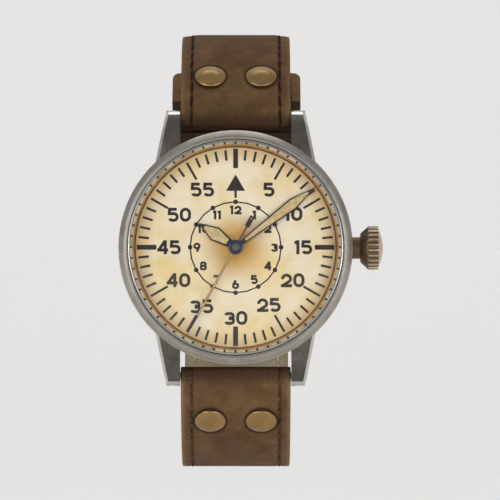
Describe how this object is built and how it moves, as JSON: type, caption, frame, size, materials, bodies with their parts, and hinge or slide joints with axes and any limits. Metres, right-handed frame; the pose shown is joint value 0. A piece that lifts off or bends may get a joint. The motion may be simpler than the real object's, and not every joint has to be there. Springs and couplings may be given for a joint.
{
  "type": "pilot wrist watch",
  "caption": "Round steel pilot watch with a cream dial, sword-shaped hands and an onion crown, a hand-wound movement inside and a riveted brown leather strap.",
  "frame": {"origin": "centre of the flat of the case back, where the watch rests on the wrist", "axes": "+X towards the crown at three o'clock, +Y out of the case back into the wrist, +Z towards twelve o'clock; the dial faces -Y"},
  "size_m": [0.0475, 0.0777, 0.0794],
  "materials": {
    "case_steel": "brushed and polished steel",
    "bezel_steel": "polished steel",
    "crystal_glass": "clear domed crystal",
    "seal_rubber": "satin",
    "ring_brass": "aged, satin",
    "dial_cream": "aged matt cream paint",
    "movement_nickel": "fine grained nickel finish",
    "wheel_brass": "gilt",
    "pinion_steel": "polished",
    "blued_steel": "blued steel",
    "jewel_red": "polished synthetic ruby",
    "hand_paint": "dark frame with khaki cream filling",
    "crown_steel": "warm worn steel",
    "strap_leather": "worn waxed leather",
    "lining_leather": "smooth cream lining",
    "rivet_brass": "antique"
  },
  "bodies": {
    "case": {"case_middle": "case_steel", "bezel": "bezel_steel", "crystal": "crystal_glass", "crystal_gasket": "seal_rubber", "dial_ring": "ring_brass", "dial": "dial_cream", "case_back": "case_steel", "back_gasket": "seal_rubber", "movement_ring": "movement_nickel", "case_clamps": "case_steel", "crown_tube": "case_steel", "main_plate": "movement_nickel", "barrel_bridge": "movement_nickel", "train_bridge": "movement_nickel", "balance_cock": "movement_nickel", "pallet_bridge": "movement_nickel", "bridge_screws": "blued_steel", "jewels": "jewel_red", "click": "pinion_steel", "spring_bar_12": "case_steel", "spring_bar_6": "case_steel"},
    "minutes": {"center_wheel": "wheel_brass", "cannon_pinion": "pinion_steel", "minute_hand": "hand_paint"},
    "hours": {"hour_wheel": "wheel_brass", "hour_hand": "hand_paint"},
    "minute_work": {"minute_wheel": "wheel_brass"},
    "setting_work": {"setting_wheel": "pinion_steel"},
    "barrel": {"barrel_drum": "wheel_brass", "barrel_cover": "wheel_brass"},
    "third": {"third_wheel": "wheel_brass"},
    "seconds": {"fourth_wheel": "wheel_brass", "seconds_hand": "hand_paint"},
    "escape": {"escape_wheel": "pinion_steel"},
    "pallet": {"pallet_fork": "pinion_steel"},
    "balance": {"balance_wheel": "wheel_brass", "balance_staff": "pinion_steel", "hairspring": "blued_steel"},
    "winding": {"winding_pinion": "pinion_steel"},
    "crown_gear": {"crown_wheel": "pinion_steel"},
    "ratchet": {"barrel_arbor": "pinion_steel", "ratchet_wheel": "pinion_steel", "mainspring": "pinion_steel"},
    "crown_and_stem": {"crown": "crown_steel", "winding_stem": "pinion_steel", "crown_gasket": "seal_rubber"},
    "clutch": {"clutch_wheel": "pinion_steel"},
    "clutch_yoke": {"yoke": "pinion_steel"},
    "stem_lever": {"setting_lever": "pinion_steel"},
    "strap_12": {"strap_12_leather": "strap_leather", "strap_12_lining": "lining_leather", "rivets_12": "rivet_brass", "keeper_fixed": "strap_leather"},
    "strap_6": {"strap_6_leather": "strap_leather", "strap_6_lining": "lining_leather", "rivets_6": "rivet_brass"},
    "loose_keeper": {"keeper_free": "strap_leather"},
    "buckle": {"buckle_frame": "case_steel", "buckle_pin": "case_steel"},
    "tongue": {"buckle_tongue": "case_steel"}
  },
  "joints": [
    {"name": "minutes_turn", "type": "hinge", "parent": "case", "child": "minutes", "pos_m": [0, -0.007, 0], "axis": [0, 1, 0], "continuous": true},
    {"name": "hours_turn", "type": "hinge", "parent": "case", "child": "hours", "pos_m": [0, -0.009, 0], "axis": [0, 1, 0], "continuous": true},
    {"name": "minute_wheel_turn", "type": "hinge", "parent": "case", "child": "minute_work", "pos_m": [0.00336, -0.008, 0], "axis": [0, 1, 0], "continuous": true},
    {"name": "setting_wheel_turn", "type": "hinge", "parent": "case", "child": "setting_work", "pos_m": [0.00714, -0.008, 0], "axis": [0, 1, 0], "continuous": true},
    {"name": "barrel_turn", "type": "hinge", "parent": "case", "child": "barrel", "pos_m": [0.00315, -0.0051, 0.00546], "axis": [0, 1, 0], "continuous": true},
    {"name": "third_wheel_turn", "type": "hinge", "parent": "case", "child": "third", "pos_m": [-0.00408, -0.005, -0.00036], "axis": [0, 1, 0], "continuous": true},
    {"name": "seconds_turn", "type": "hinge", "parent": "case", "child": "seconds", "pos_m": [0, -0.0045, 0], "axis": [0, 1, 0], "continuous": true},
    {"name": "escape_wheel_turn", "type": "hinge", "parent": "case", "child": "escape", "pos_m": [-0.00081, -0.005, -0.00396], "axis": [0, 1, 0], "continuous": true},
    {"name": "pallet_rock", "type": "hinge", "parent": "case", "child": "pallet", "pos_m": [0.00128, -0.005, -0.00515], "axis": [0, 1, 0], "range_deg": [-3, 3]},
    {"name": "balance_swing", "type": "hinge", "parent": "case", "child": "balance", "pos_m": [0.0038, -0.0042, -0.00658], "axis": [0, 1, 0], "range_deg": [-150, 150], "stiffness_Nm_per_rad": 0.0000001},
    {"name": "winding_turn", "type": "hinge", "parent": "case", "child": "winding", "pos_m": [0.0105, -0.0047, 0], "axis": [1, 0, 0], "continuous": true},
    {"name": "crown_wheel_turn", "type": "hinge", "parent": "case", "child": "crown_gear", "pos_m": [0.00754, -0.0031, 0], "axis": [0, 1, 0], "continuous": true},
    {"name": "ratchet_turn", "type": "hinge", "parent": "case", "child": "ratchet", "pos_m": [0.00315, -0.0031, 0.00546], "axis": [0, 1, 0], "continuous": true},
    {"name": "crown_pull", "type": "slide", "parent": "winding", "child": "crown_and_stem", "axis": [1, 0, 0], "range_m": [0, 0.001]},
    {"name": "clutch_slide", "type": "slide", "parent": "winding", "child": "clutch", "axis": [1, 0, 0], "range_m": [-0.00046, 0.00001]},
    {"name": "yoke_swing", "type": "hinge", "parent": "case", "child": "clutch_yoke", "pos_m": [0.00838, -0.0063, -0.0034], "axis": [0, 1, 0], "range_deg": [-7.9, 0.3]},
    {"name": "setting_lever_swing", "type": "hinge", "parent": "case", "child": "stem_lever", "pos_m": [0.0109, -0.0063, 0.0024], "axis": [0, 1, 0], "range_deg": [-26.4, 0.3]},
    {"name": "strap_12_swing", "type": "hinge", "parent": "case", "child": "strap_12", "pos_m": [0, -0.0038, 0.02305], "axis": [1, 0, 0], "range_deg": [0, 40]},
    {"name": "strap_6_swing", "type": "hinge", "parent": "case", "child": "strap_6", "pos_m": [0, -0.0038, -0.02305], "axis": [-1, 0, 0], "range_deg": [0, 40]},
    {"name": "keeper_slip", "type": "hinge", "parent": "strap_12", "child": "loose_keeper", "pos_m": [0, 0.02353, 0], "axis": [1, 0, 0], "range_deg": [0, 9]},
    {"name": "buckle_swing", "type": "hinge", "parent": "strap_12", "child": "buckle", "pos_m": [0, 0.05893, 0.01392], "axis": [1, 0, 0], "range_deg": [-10, 30]},
    {"name": "tongue_lift", "type": "hinge", "parent": "buckle", "child": "tongue", "pos_m": [0, 0.05893, 0.01392], "axis": [1, 0, 0], "range_deg": [0, 60]}
  ],
  "couplings": [
    {"joint": "minutes_turn", "follows": "seconds_turn", "ratio": 0.016667},
    {"joint": "hours_turn", "follows": "seconds_turn", "ratio": 0.0013889},
    {"joint": "minute_wheel_turn", "follows": "seconds_turn", "ratio": -0.0055556},
    {"joint": "setting_wheel_turn", "follows": "seconds_turn", "ratio": 0.011111},
    {"joint": "barrel_turn", "follows": "seconds_turn", "ratio": -0.0027778},
    {"joint": "third_wheel_turn", "follows": "seconds_turn", "ratio": -0.13333},
    {"joint": "escape_wheel_turn", "follows": "seconds_turn", "ratio": -10},
    {"joint": "crown_wheel_turn", "follows": "winding_turn", "ratio": -0.53846},
    {"joint": "ratchet_turn", "follows": "winding_turn", "ratio": 0.31818},
    {"joint": "clutch_slide", "follows": "crown_pull", "ratio": -0.45},
    {"joint": "yoke_swing", "follows": "crown_pull", "rad_per_m": -132.16},
    {"joint": "setting_lever_swing", "follows": "crown_pull", "rad_per_m": -451.98}
  ]
}
